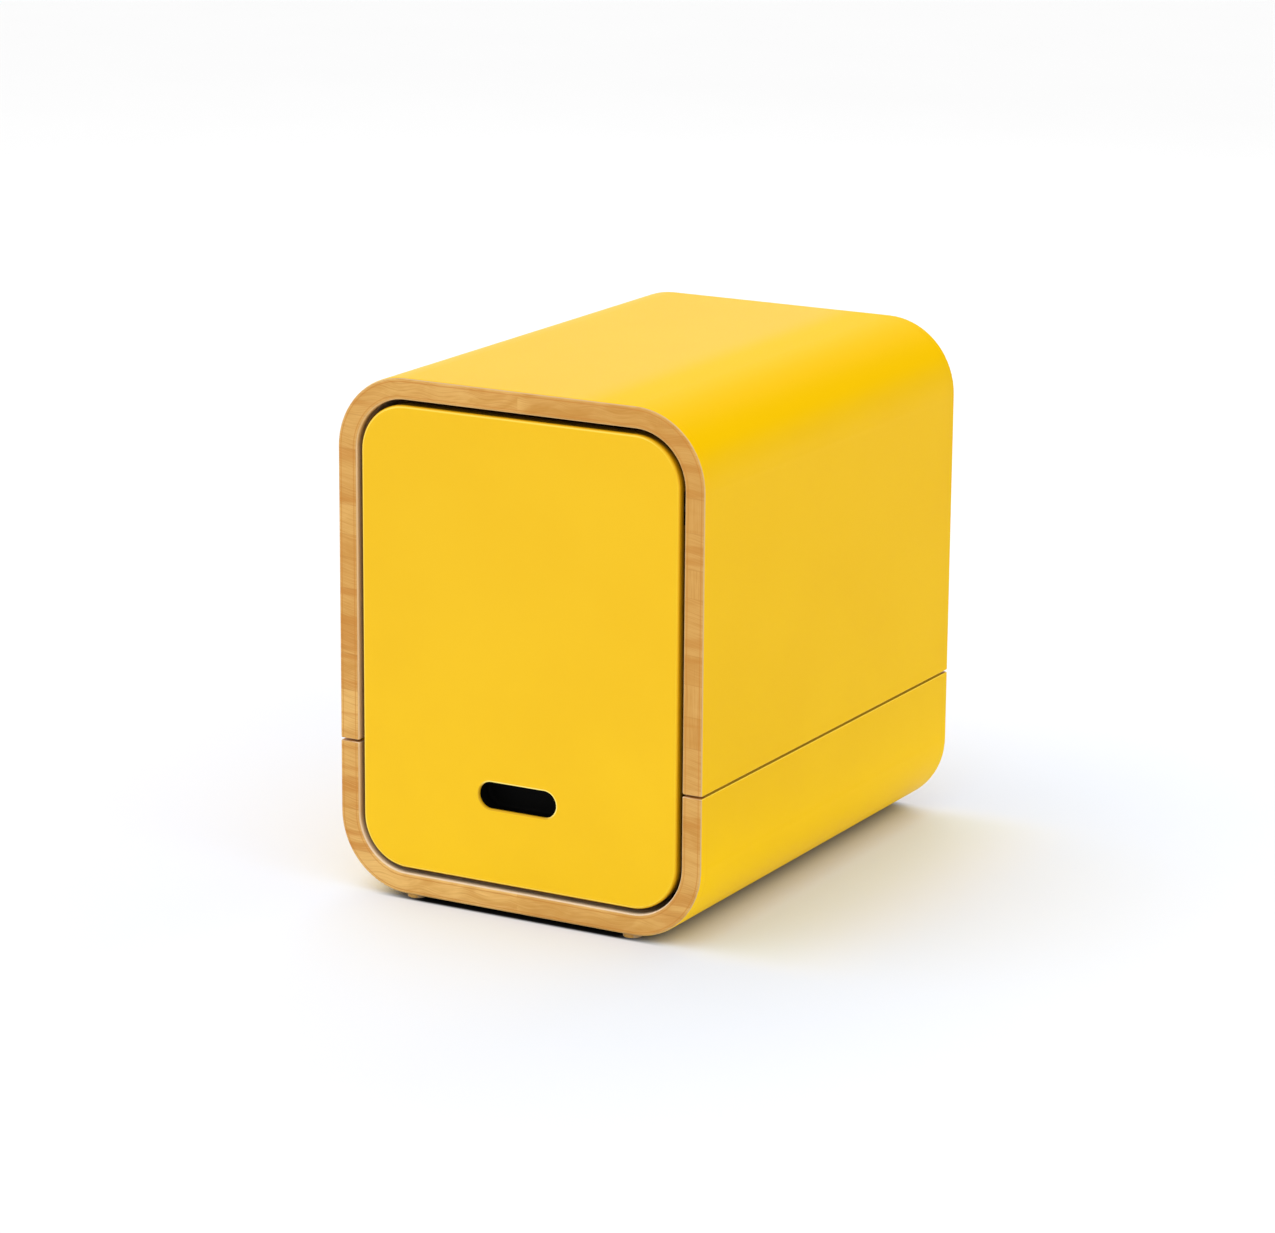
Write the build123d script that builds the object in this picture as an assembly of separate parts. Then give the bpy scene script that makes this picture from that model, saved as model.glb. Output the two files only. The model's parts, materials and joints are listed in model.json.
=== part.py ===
from build123d import *
import os

# A box in the round-cornered, square-tube style: a bent shell in two halves,
# a low trough that stands on four feet and a tall hood that lifts off it.
# The front is a flap that swings out and up on two side pivots in the hood,
# and the back is a fixed panel that the hood carries.
#
# Millimetres. X runs to the right seen from the front, Y from front to back,
# Z up. The origin is on the floor, under the middle of the box.

# ---- driving dimensions: the shell ----
WIDTH = 375.0
SHELL_HEIGHT = 480.0        # without the feet
DEPTH = 500.0
OUTER_RADIUS = 70.0         # the four long bends, on the outside
WALL = 20.0                 # core and laminate together
LAMINATE = 0.8
LIPPING_DEPTH = 10.0        # solid wood edging, from the front and back faces inwards
ARRIS = 2.5                 # rounding of the edges of the front and back faces
SEAM_HEIGHT = 137.5         # middle of the seam above the underside of the shell
SEAM_GAP = 2.2
SEAM_EASING = 1.2           # rounding of the edges that face each other across the seam

# ---- feet ----
FOOT_DIAMETER = 18.0
FOOT_HEIGHT = 4.0
FOOT_X = 113.0
FOOT_SETBACK = 3.0          # from the front or back face to the foot's edge
FOOT_EASING = 0.8

# ---- front flap and back panel ----
PANEL_GAP = 5.0             # all round, between a panel and the shell
PANEL_THICKNESS = 18.0
PANEL_FRONT_EASING = 2.5
PANEL_INNER_EASING = 1.0

# ---- finger pull ----
SLOT_WIDTH = 80.0
SLOT_HEIGHT = 25.0
SLOT_ABOVE_SHELL = 107.5    # middle of the slot above the underside of the shell
SLOT_LIP = 2.5              # panel left in front of the cup
SLOT_EASING = 1.0
CUP_UNDERCUT = 4.0          # how far the lip overhangs the cup, for the fingertips
CUP_WALL = 2.0
CUP_DEPTH = 26.0            # from the front face to the outside of the cup's floor
CUP_FLANGE = 12.0           # width of the flange behind the panel
CUP_FLOOR_RADIUS = 3.0
CUP_SCREW_SPACING = 100.0

# ---- flap pivots ----
PIVOT_BELOW_TOP = 62.0      # pivot axis below the top edge of the flap
PIVOT_BLOCK = (25.0, 10.0, 30.0)
PIVOT_SCREW_SPREAD = 16.0
PIN_DIAMETER = 6.0
PIN_IN_BLOCK = 15.0
PIN_CHAMFER = 0.6
BUSH_DIAMETER = 9.0
BUSH_IN_WALL = 12.0
PIN_SHORT_OF_BUSH_END = 1.0

# ---- stops, catches and fixing battens ----
BATTEN_THICKNESS = 15.0     # front to back
BATTEN_WIDTH = 30.0         # of an upright batten, out from the wall
RAIL_HEIGHT = 20.0          # of a cross rail, up or down from the shell
RAIL_LENGTH = 180.0
BATTEN_EASING = 1.0
BATTEN_ABOVE_SEAM = 25.0
STOP_BELOW_PIVOT = 40.0     # top end of a stop batten below the pivot axis
REAR_BATTEN_BELOW_TOP = 80.0
BUMPER_DIAMETER = 8.0
BUMPER_THICKNESS = 1.7
BUMPER_END_DISTANCE = 20.0  # bumper to the end of its batten or rail
BUMPER_CLEARANCE = 0.3      # bumper to the shut flap
MAGNET_DIAMETER = 10.0
MAGNET_THICKNESS = 5.0
MAGNET_PROUD = 1.5
MAGNET_ABOVE_BATTEN_END = 50.0
STRIKE_DIAMETER = 16.0
STRIKE_THICKNESS = 1.5

# ---- locating dowels in the seam ----
DOWEL_DIAMETER = 8.0
DOWEL_IN_TROUGH = 20.0
DOWEL_IN_HOOD = 16.0
DOWEL_CHAMFER = 1.0
DOWEL_END_DISTANCE = 80.0   # dowel to the front or back face
SLEEVE_DIAMETER = 10.0
SLEEVE_LENGTH = 18.0
WASHER_DIAMETER = 14.0

# ---- countersunk wood screws, one pattern in several lengths ----
SCREW_DIAMETER = 3.5
SCREW_HEAD_DIAMETER = 7.0
SCREW_HEAD_HEIGHT = 2.2
SCREW_TIP = 3.0
SCREW_RIM = 0.2             # flat edge of the head
SCREW_SUNK = 0.3            # head below the surface
SCREW_RECESS = (0.9, 4.0, 1.4)
SCREW_END_DISTANCE = 35.0   # screw to the end of its batten or rail
FOOT_SCREW_LENGTH = 16.0
CUP_SCREW_LENGTH = 12.0
PIVOT_SCREW_LENGTH = 14.5
STRIKE_SCREW_LENGTH = 10.0
GRIP_IN_SHELL = 12.0        # thread of a batten screw that bites in the shell
GRIP_IN_PANEL = 12.0        # thread of a panel screw that bites in the panel

# ---- fits ----
RUNNING_FIT = 0.05          # radial, pin in bush and dowel in sleeve
GLUE_FIT = 0.05             # round a glued or screwed piece
SIDE_PLAY = 0.3             # flap's pivot block to the end of the bush

# ---- derived places ----
FRONT = -DEPTH / 2
BACK = DEPTH / 2
SHELL_BOTTOM = FOOT_HEIGHT
SHELL_TOP = SHELL_BOTTOM + SHELL_HEIGHT
SHELL_MIDDLE = SHELL_BOTTOM + SHELL_HEIGHT / 2
INNER_X = WIDTH / 2 - WALL
FLOOR_Z = SHELL_BOTTOM + WALL
CEILING_Z = SHELL_TOP - WALL
SEAM_LOW = SHELL_BOTTOM + SEAM_HEIGHT - SEAM_GAP / 2
SEAM_HIGH = SEAM_LOW + SEAM_GAP
WALL_MIDDLE_X = INNER_X + (WALL - LAMINATE) / 2

PANEL_EDGE_X = INNER_X - PANEL_GAP
PANEL_TOP = CEILING_Z - PANEL_GAP
FLAP_BACK = FRONT + PANEL_THICKNESS
REAR_PANEL_FRONT = BACK - PANEL_THICKNESS
SLOT_Z = SHELL_BOTTOM + SLOT_ABOVE_SHELL
LIP_BACK = FRONT + SLOT_LIP

PIVOT_Y = FLAP_BACK - PIVOT_BLOCK[1] / 2
PIVOT_Z = PANEL_TOP - PIVOT_BELOW_TOP

STOP_FRONT = FLAP_BACK + BUMPER_CLEARANCE + BUMPER_THICKNESS
STOP_BACK = STOP_FRONT + BATTEN_THICKNESS
STOP_BOTTOM = SEAM_HIGH + BATTEN_ABOVE_SEAM
STOP_TOP = PIVOT_Z - STOP_BELOW_PIVOT
REAR_BATTEN_FRONT = REAR_PANEL_FRONT - BATTEN_THICKNESS
REAR_BATTEN_TOP = CEILING_Z - REAR_BATTEN_BELOW_TOP
REAR_RAIL_BOTTOM = CEILING_Z - RAIL_HEIGHT
BATTEN_INNER_X = INNER_X - BATTEN_WIDTH
BATTEN_MIDDLE_X = INNER_X - BATTEN_WIDTH / 2
STOP_MIDDLE_Y = (STOP_FRONT + STOP_BACK) / 2
REAR_BATTEN_MIDDLE_Y = (REAR_BATTEN_FRONT + REAR_PANEL_FRONT) / 2
SILL_TOP = FLOOR_Z + RAIL_HEIGHT
MAGNET_Z = STOP_BOTTOM + MAGNET_ABOVE_BATTEN_END
DOWEL_Y = DEPTH / 2 - DOWEL_END_DISTANCE

SIDE_SCREW_LENGTH = BATTEN_WIDTH + GRIP_IN_SHELL
RAIL_SCREW_LENGTH = RAIL_HEIGHT + GRIP_IN_SHELL
PANEL_SCREW_LENGTH = BATTEN_THICKNESS + GRIP_IN_PANEL

LEFT_RIGHT = (-1, 1)
SIDE_NAMES = {"left": -1, "right": 1}
UP, DOWN, FORWARD, BACKWARD = (0, 0, 1), (0, 0, -1), (0, -1, 0), (0, 1, 0)
TOLERANCE = 0.01            # for finding edges by their place


# ---- helpers ----
def block(x, y, z):
    """A box between the two values of each pair."""
    spans = (x, y, z)
    size = [high - low for low, high in spans]
    middle = [(high + low) / 2 for low, high in spans]
    return Pos(*middle) * Box(*size)


def section(inset):
    """The shell's round-cornered section in X and Z, drawn in by an inset."""
    outline = RectangleRounded(WIDTH - 2 * inset, SHELL_HEIGHT - 2 * inset, OUTER_RADIUS - inset)
    return Pos(0, SHELL_MIDDLE) * outline


def stadium(grow):
    """The finger slot's outline in X and Z, grown by an amount."""
    return Pos(0, SLOT_Z) * SlotOverall(SLOT_WIDTH + 2 * grow, SLOT_HEIGHT + 2 * grow)


def run_y(outline, y_front, y_back):
    """An outline in X and Z, run from one Y to another."""
    plane = Plane((0, y_front, 0), x_dir=(1, 0, 0), z_dir=(0, -1, 0))
    return extrude(plane * outline, amount=y_front - y_back)


def rod(start, direction, length, diameter):
    """A round bar from a point along a direction."""
    plane = Plane(start, z_dir=direction)
    return plane * (Pos(0, 0, length / 2) * Cylinder(diameter / 2, length))


def edges_at(piece, axis, value):
    """The edges of a piece that lie at one value along an axis."""
    return piece.edges().filter_by_position(axis, value - TOLERANCE, value + TOLERANCE)


def screw_body(length, grow, above):
    """A countersunk screw along -Z with its head at Z = 0, grown to make its own hole."""
    head = SCREW_HEAD_DIAMETER / 2 + grow
    shank = SCREW_DIAMETER / 2 + grow
    neck = -SCREW_RIM - SCREW_HEAD_HEIGHT - grow
    tip = -length - grow
    profile = Polyline(
        (0, 0, above), (head, 0, above), (head, 0, -SCREW_RIM), (shank, 0, neck),
        (shank, 0, tip + SCREW_TIP), (0, 0, tip), close=True,
    )
    return revolve(make_face(profile), Axis.Z)


def screw(length):
    """A screw with a cross recess in its head."""
    recess = Box(*SCREW_RECESS) + Rot(0, 0, 90) * Box(*SCREW_RECESS)
    return screw_body(length, 0, 0) - recess


def screw_hole(length):
    """What a screw needs cut out of the pieces that it passes through."""
    return screw_body(length, GLUE_FIT, SCREW_HEAD_HEIGHT)


def seated(places, outward, item):
    """Copies of a screw or hole, each sunk a little in a surface that faces outward."""
    sunk = Pos(0, 0, -SCREW_SUNK) * item
    return [Plane(place, z_dir=outward) * sunk for place in places]


def fixings(places, outward, length):
    """Screws of one length on a list of places, and the holes that they need."""
    return seated(places, outward, screw(length)), seated(places, outward, screw_hole(length))


def drilled(piece, *groups):
    """A piece with every tool of every group cut out of it."""
    for group in groups:
        for tool in group:
            piece = piece - tool
    return piece


def eased_batten(x, y, z):
    """A batten with all of its edges rounded."""
    piece = block(x, y, z)
    return fillet(piece.edges(), BATTEN_EASING)


def disc_pairs(places, direction, thickness, diameter):
    """Discs that stand on a list of places."""
    return [rod(place, direction, thickness, diameter) for place in places]


# ---- places of repeated pieces ----
FOOT_Y = DEPTH / 2 - FOOT_SETBACK - FOOT_DIAMETER / 2
FOOT_PLACES = [(sx * FOOT_X, sy * FOOT_Y, 0) for sx in LEFT_RIGHT for sy in LEFT_RIGHT]
DOWEL_PLACES = [(sx * WALL_MIDDLE_X, sy * DOWEL_Y) for sx in LEFT_RIGHT for sy in LEFT_RIGHT]
RAIL_SCREW_X = RAIL_LENGTH / 2 - SCREW_END_DISTANCE
CUP_SCREW_PLACES = [
    (side * CUP_SCREW_SPACING / 2, FLAP_BACK + CUP_WALL, SLOT_Z) for side in LEFT_RIGHT
]
PIVOT_SCREW_X = PANEL_EDGE_X - PIVOT_BLOCK[0] / 2
STRIKE_PLACES = [(side * BATTEN_MIDDLE_X, FLAP_BACK, MAGNET_Z) for side in LEFT_RIGHT]
STOP_BUMPER_ZS = (STOP_BOTTOM + BUMPER_END_DISTANCE, STOP_TOP - BUMPER_END_DISTANCE)
SILL_BUMPER_Z = (FLOOR_Z + PANEL_GAP + SILL_TOP) / 2
SILL_BUMPER_PLACES = [
    (side * (RAIL_LENGTH / 2 - BUMPER_END_DISTANCE), STOP_FRONT, SILL_BUMPER_Z)
    for side in LEFT_RIGHT
]
STOP_BUMPER_PLACES = [
    (side * BATTEN_MIDDLE_X, STOP_FRONT, height) for side in LEFT_RIGHT for height in STOP_BUMPER_ZS
]
PANEL_SCREW_ZS = (STOP_BOTTOM + BUMPER_END_DISTANCE, REAR_BATTEN_TOP - BUMPER_END_DISTANCE)
PANEL_SCREW_PLACES = [
    (side * BATTEN_MIDDLE_X, REAR_BATTEN_FRONT, height) for side in LEFT_RIGHT for height in PANEL_SCREW_ZS
]
PANEL_SCREW_PLACES.append((0, REAR_BATTEN_FRONT, CEILING_Z - RAIL_HEIGHT / 2))
PIVOT_SCREW_PLACES = [
    (side * PIVOT_SCREW_X, FLAP_BACK, PIVOT_Z + end * PIVOT_SCREW_SPREAD / 2)
    for side in LEFT_RIGHT
    for end in LEFT_RIGHT
]


def batten_fixings(middle_y, bottom, top):
    """Screws and holes that hold a pair of upright battens to the two walls."""
    screws, holes = [], []
    for side in LEFT_RIGHT:
        heights = (bottom + SCREW_END_DISTANCE, top - SCREW_END_DISTANCE)
        places = [(side * BATTEN_INNER_X, middle_y, height) for height in heights]
        batten_screws, batten_holes = fixings(places, (-side, 0, 0), SIDE_SCREW_LENGTH)
        screws += batten_screws
        holes += batten_holes
    return screws, holes


def rail_fixings(middle_y, height, outward):
    """Screws and holes that hold a cross rail to the shell."""
    places = [(side * RAIL_SCREW_X, middle_y, height) for side in LEFT_RIGHT]
    return fixings(places, outward, RAIL_SCREW_LENGTH)


# ---- shell ----
def whole_shell():
    """The bent tube before it is split, with its front and back edges rounded."""
    tube = run_y(section(0) - section(WALL), FRONT, BACK)
    edges = edges_at(tube, Axis.Y, FRONT) + edges_at(tube, Axis.Y, BACK)
    return fillet(edges, ARRIS)


def shell_half(tube, bottom, top, seam):
    """One half of the tube, with the edges along its seam eased."""
    half = tube & block((-WIDTH, WIDTH), (-DEPTH, DEPTH), (bottom, top))
    return fillet(edges_at(half, Axis.Z, seam), SEAM_EASING)


def shell_layers(half):
    """Split a half shell into laminate, core, front edging and rear edging."""
    inside_laminate = run_y(section(LAMINATE), FRONT, BACK)
    wood = half & inside_laminate
    reach = (-WIDTH, WIDTH)
    tall = (-SHELL_HEIGHT, 2 * SHELL_HEIGHT)
    core_front = FRONT + LIPPING_DEPTH
    core_back = BACK - LIPPING_DEPTH
    return {
        "laminate": half - inside_laminate,
        "core": wood & block(reach, (core_front, core_back), tall),
        "front_lipping": wood & block(reach, (FRONT, core_front), tall),
        "rear_lipping": wood & block(reach, (core_back, BACK), tall),
    }


# ---- feet and seam hardware ----
def foot(place):
    button = rod(place, (0, 0, 1), FOOT_HEIGHT, FOOT_DIAMETER)
    return fillet(edges_at(button, Axis.Z, 0), FOOT_EASING)


def dowel(x, y):
    start = (x, y, SEAM_LOW - DOWEL_IN_TROUGH)
    length = DOWEL_IN_TROUGH + SEAM_GAP + DOWEL_IN_HOOD
    pin = rod(start, (0, 0, 1), length, DOWEL_DIAMETER)
    return chamfer(pin.edges().filter_by(GeomType.CIRCLE), DOWEL_CHAMFER)


def dowel_hole(x, y):
    depth = DOWEL_IN_TROUGH + GLUE_FIT
    return rod((x, y, SEAM_LOW), (0, 0, -1), depth, DOWEL_DIAMETER + 2 * GLUE_FIT)


def seam_washer(x, y):
    ring = rod((x, y, SEAM_LOW), (0, 0, 1), SEAM_GAP, WASHER_DIAMETER)
    return ring - rod((x, y, SEAM_LOW), (0, 0, 1), SEAM_GAP, DOWEL_DIAMETER + 2 * GLUE_FIT)


def dowel_sleeve(x, y):
    tube = rod((x, y, SEAM_HIGH), (0, 0, 1), SLEEVE_LENGTH, SLEEVE_DIAMETER)
    bore = DOWEL_DIAMETER + 2 * RUNNING_FIT
    return tube - rod((x, y, SEAM_HIGH), (0, 0, 1), SLEEVE_LENGTH, bore)


def sleeve_hole(x, y):
    depth = SLEEVE_LENGTH + GLUE_FIT
    return rod((x, y, SEAM_HIGH), (0, 0, 1), depth, SLEEVE_DIAMETER + 2 * GLUE_FIT)


# ---- panels ----
def blank_panel(y_front, y_back, outer_face):
    """A round-cornered panel that fits in the shell with the gap all round."""
    panel = run_y(section(WALL + PANEL_GAP), y_front, y_back)
    inner_face = y_front + y_back - outer_face
    panel = fillet(edges_at(panel, Axis.Y, outer_face), PANEL_FRONT_EASING)
    return fillet(edges_at(panel, Axis.Y, inner_face), PANEL_INNER_EASING)


def pivot_block_space(side, grow):
    """The space of a pivot block at one edge of the flap, grown to make its pocket."""
    length, thickness, height = PIVOT_BLOCK
    x_span = sorted((side * (PANEL_EDGE_X - length - grow), side * PANEL_EDGE_X))
    y_span = (FLAP_BACK - thickness - grow, FLAP_BACK)
    z_span = (PIVOT_Z - height / 2 - grow, PIVOT_Z + height / 2 + grow)
    return block(x_span, y_span, z_span)


def flap_panel():
    """The front flap: slot, cup pocket, pivot pockets and strike recesses."""
    panel = blank_panel(FRONT, FLAP_BACK, FRONT)
    panel = panel - run_y(stadium(0), FRONT, LIP_BACK)
    slot_rim = [
        edge for edge in edges_at(panel, Axis.Y, FRONT)
        if abs(edge.center().Z - SLOT_Z) <= SLOT_HEIGHT and abs(edge.center().X) <= SLOT_WIDTH / 2
    ]
    panel = fillet(slot_rim, SLOT_EASING)
    panel = panel - run_y(stadium(CUP_UNDERCUT + CUP_WALL + GLUE_FIT), LIP_BACK, FLAP_BACK)
    for side in LEFT_RIGHT:
        panel = panel - pivot_block_space(side, GLUE_FIT)
    recess_diameter = STRIKE_DIAMETER + 2 * GLUE_FIT
    panel = drilled(panel, disc_pairs(STRIKE_PLACES, (0, -1, 0), STRIKE_THICKNESS, recess_diameter))
    return panel


def finger_cup():
    """The cup behind the slot, wider than the slot so that fingertips hook in it."""
    cup_back = FRONT + CUP_DEPTH
    cup = run_y(stadium(CUP_UNDERCUT + CUP_WALL), LIP_BACK, cup_back)
    cup = fillet(edges_at(cup, Axis.Y, cup_back), CUP_FLOOR_RADIUS)
    flange = run_y(stadium(CUP_UNDERCUT + CUP_FLANGE), FLAP_BACK, FLAP_BACK + CUP_WALL)
    hollow = run_y(stadium(CUP_UNDERCUT), LIP_BACK, cup_back - CUP_WALL)
    hollow = fillet(edges_at(hollow, Axis.Y, cup_back - CUP_WALL), CUP_FLOOR_RADIUS)
    return cup + flange - hollow


# ---- pivots ----
def pivot_pin(side):
    start = (side * (PANEL_EDGE_X - PIN_IN_BLOCK), PIVOT_Y, PIVOT_Z)
    length = PIN_IN_BLOCK + PANEL_GAP + BUSH_IN_WALL - PIN_SHORT_OF_BUSH_END
    pin = rod(start, (side, 0, 0), length, PIN_DIAMETER)
    return chamfer(pin.edges().filter_by(GeomType.CIRCLE), PIN_CHAMFER)


def pivot_pin_hole(side):
    start = (side * (PANEL_EDGE_X - PIN_IN_BLOCK - GLUE_FIT), PIVOT_Y, PIVOT_Z)
    return rod(start, (side, 0, 0), PIN_IN_BLOCK + GLUE_FIT, PIN_DIAMETER + 2 * GLUE_FIT)


def pivot_bush(side):
    """A sleeve let into the wall that stands out across the gap to centre the flap."""
    start = (side * (PANEL_EDGE_X + SIDE_PLAY), PIVOT_Y, PIVOT_Z)
    length = PANEL_GAP - SIDE_PLAY + BUSH_IN_WALL
    bore = rod(start, (side, 0, 0), length, PIN_DIAMETER + 2 * RUNNING_FIT)
    return rod(start, (side, 0, 0), length, BUSH_DIAMETER) - bore


def pivot_bush_hole(side):
    start = (side * INNER_X, PIVOT_Y, PIVOT_Z)
    return rod(start, (side, 0, 0), BUSH_IN_WALL + GLUE_FIT, BUSH_DIAMETER + 2 * GLUE_FIT)


# ---- battens, rails and catches ----
def upright_batten(side, y_span, z_span):
    x_span = sorted((side * BATTEN_INNER_X, side * INNER_X))
    return eased_batten(x_span, y_span, z_span)


def cross_rail(y_span, z_span):
    return eased_batten((-RAIL_LENGTH / 2, RAIL_LENGTH / 2), y_span, z_span)


def magnet_place(side, sunk):
    return (side * BATTEN_MIDDLE_X, STOP_FRONT + sunk, MAGNET_Z)


def magnet(side):
    sunk = MAGNET_THICKNESS - MAGNET_PROUD
    return rod(magnet_place(side, sunk), (0, -1, 0), MAGNET_THICKNESS, MAGNET_DIAMETER)


def magnet_hole(side):
    sunk = MAGNET_THICKNESS - MAGNET_PROUD + GLUE_FIT
    return rod(magnet_place(side, sunk), (0, -1, 0), sunk, MAGNET_DIAMETER + 2 * GLUE_FIT)


# ---- the four groups of the model, each as nodes by name ----
def trough_group(half):
    """The lower half of the shell, its feet, dowels and the rail that the flap shuts on."""
    layers = shell_layers(half)
    foot_screws, foot_holes = fixings(FOOT_PLACES, DOWN, FOOT_SCREW_LENGTH)
    sill_screws, sill_holes = rail_fixings(STOP_MIDDLE_Y, SILL_TOP, UP)
    dowel_holes = [dowel_hole(x, y) for x, y in DOWEL_PLACES]
    sill = cross_rail((STOP_FRONT, STOP_BACK), (FLOOR_Z, SILL_TOP))
    return {
        "trough_shell": drilled(layers["core"], foot_holes, sill_holes, dowel_holes),
        "trough_laminate": drilled(layers["laminate"], foot_holes),
        "trough_front_lipping": drilled(layers["front_lipping"], foot_holes),
        "trough_rear_lipping": drilled(layers["rear_lipping"], foot_holes),
        "feet": [drilled(foot(place), foot_holes) for place in FOOT_PLACES],
        "foot_screws": foot_screws,
        "locating_dowels": [dowel(x, y) for x, y in DOWEL_PLACES],
        "seam_washers": [seam_washer(x, y) for x, y in DOWEL_PLACES],
        "sill_rail": drilled(sill, sill_holes),
        "sill_rail_screws": sill_screws,
        "sill_bumpers": disc_pairs(SILL_BUMPER_PLACES, FORWARD, BUMPER_THICKNESS, BUMPER_DIAMETER),
    }


def hood_group(half):
    """The upper half of the shell with its sleeves, bushes, and the flap's stops and catches."""
    layers = shell_layers(half)
    sleeve_holes = [sleeve_hole(x, y) for x, y in DOWEL_PLACES]
    bush_holes = [pivot_bush_hole(side) for side in LEFT_RIGHT]
    stop_screws, stop_holes = batten_fixings(STOP_MIDDLE_Y, STOP_BOTTOM, STOP_TOP)
    rear_holes = rear_batten_fixings()[1]
    parts = {
        "hood_shell": drilled(layers["core"], sleeve_holes, bush_holes, stop_holes, rear_holes),
        "hood_laminate": layers["laminate"],
        "hood_front_lipping": drilled(layers["front_lipping"], bush_holes),
        "hood_rear_lipping": layers["rear_lipping"],
        "dowel_sleeves": [dowel_sleeve(x, y) for x, y in DOWEL_PLACES],
        "stop_batten_screws": stop_screws,
        "stop_bumpers": disc_pairs(STOP_BUMPER_PLACES, FORWARD, BUMPER_THICKNESS, BUMPER_DIAMETER),
        "catch_magnets": [magnet(side) for side in LEFT_RIGHT],
    }
    for name, side in SIDE_NAMES.items():
        batten = upright_batten(side, (STOP_FRONT, STOP_BACK), (STOP_BOTTOM, STOP_TOP))
        parts[f"stop_batten_{name}"] = drilled(batten, stop_holes, [magnet_hole(side)])
        parts[f"pivot_bush_{name}"] = pivot_bush(side)
    return parts


def rear_batten_fixings():
    """Screws and holes that hold the back panel's battens and rail to the hood."""
    side_screws, side_holes = batten_fixings(REAR_BATTEN_MIDDLE_Y, STOP_BOTTOM, REAR_BATTEN_TOP)
    rail_screws, rail_holes = rail_fixings(REAR_BATTEN_MIDDLE_Y, REAR_RAIL_BOTTOM, DOWN)
    return side_screws + rail_screws, side_holes + rail_holes


def back_group():
    """The fixed back panel with the battens and rail that hold it."""
    batten_screws, batten_holes = rear_batten_fixings()
    panel_screws, panel_holes = fixings(PANEL_SCREW_PLACES, FORWARD, PANEL_SCREW_LENGTH)
    y_span = (REAR_BATTEN_FRONT, REAR_PANEL_FRONT)
    top_rail = cross_rail(y_span, (REAR_RAIL_BOTTOM, CEILING_Z))
    parts = {
        "rear_panel": drilled(blank_panel(REAR_PANEL_FRONT, BACK, BACK), panel_holes),
        "rear_panel_screws": panel_screws,
        "rear_top_rail": drilled(top_rail, batten_holes, panel_holes),
        "rear_batten_screws": batten_screws,
    }
    for name, side in SIDE_NAMES.items():
        batten = upright_batten(side, y_span, (STOP_BOTTOM, REAR_BATTEN_TOP))
        parts[f"rear_batten_{name}"] = drilled(batten, batten_holes, panel_holes)
    return parts


def flap_group():
    """The front flap with its finger cup, pivots and strike plates."""
    cup_screws, cup_holes = fixings(CUP_SCREW_PLACES, BACKWARD, CUP_SCREW_LENGTH)
    pivot_screws, pivot_holes = fixings(PIVOT_SCREW_PLACES, BACKWARD, PIVOT_SCREW_LENGTH)
    strike_screws, strike_holes = fixings(STRIKE_PLACES, BACKWARD, STRIKE_SCREW_LENGTH)
    strikes = disc_pairs(STRIKE_PLACES, FORWARD, STRIKE_THICKNESS, STRIKE_DIAMETER)
    parts = {
        "front_flap": drilled(flap_panel(), pivot_holes, cup_holes, strike_holes),
        "finger_cup": drilled(finger_cup(), cup_holes),
        "finger_cup_screws": cup_screws,
        "pivot_pins": [pivot_pin(side) for side in LEFT_RIGHT],
        "pivot_block_screws": pivot_screws,
        "strike_plates": [drilled(strike, strike_holes) for strike in strikes],
        "strike_screws": strike_screws,
    }
    for name, side in SIDE_NAMES.items():
        pivot_block = pivot_block_space(side, 0)
        parts[f"pivot_block_{name}"] = drilled(pivot_block, pivot_holes, [pivot_pin_hole(side)])
    return parts


def build():
    tube = whole_shell()
    trough = shell_half(tube, 0, SEAM_LOW, SEAM_LOW)
    hood = shell_half(tube, SEAM_HIGH, 2 * SHELL_TOP, SEAM_HIGH)
    return {**trough_group(trough), **hood_group(hood), **back_group(), **flap_group()}


os.makedirs("parts", exist_ok=True)
for node, shape in build().items():
    group = shape if isinstance(shape, list) else [shape]
    solids = [solid for piece in group for solid in piece.solids()]
    export_step(Compound(children=solids), f"parts/{node}.step")
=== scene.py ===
import json
import math

import bpy
from mathutils import Matrix, Vector


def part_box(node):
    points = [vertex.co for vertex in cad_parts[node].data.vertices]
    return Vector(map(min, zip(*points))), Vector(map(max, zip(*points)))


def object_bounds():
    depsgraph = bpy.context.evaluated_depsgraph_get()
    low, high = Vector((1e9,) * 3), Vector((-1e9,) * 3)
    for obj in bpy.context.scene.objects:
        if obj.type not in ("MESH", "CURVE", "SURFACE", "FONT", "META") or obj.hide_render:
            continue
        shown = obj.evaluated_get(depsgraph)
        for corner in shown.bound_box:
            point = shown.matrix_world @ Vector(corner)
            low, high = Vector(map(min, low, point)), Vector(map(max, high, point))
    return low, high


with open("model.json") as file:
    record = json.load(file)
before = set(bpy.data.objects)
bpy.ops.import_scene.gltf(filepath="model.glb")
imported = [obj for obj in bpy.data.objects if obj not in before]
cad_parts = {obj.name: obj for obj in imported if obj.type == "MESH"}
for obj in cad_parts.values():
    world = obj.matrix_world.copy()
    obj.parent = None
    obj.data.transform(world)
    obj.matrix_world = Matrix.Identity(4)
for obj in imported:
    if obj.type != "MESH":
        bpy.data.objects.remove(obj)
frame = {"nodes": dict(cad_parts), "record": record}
cad_low, cad_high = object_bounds()

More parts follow.
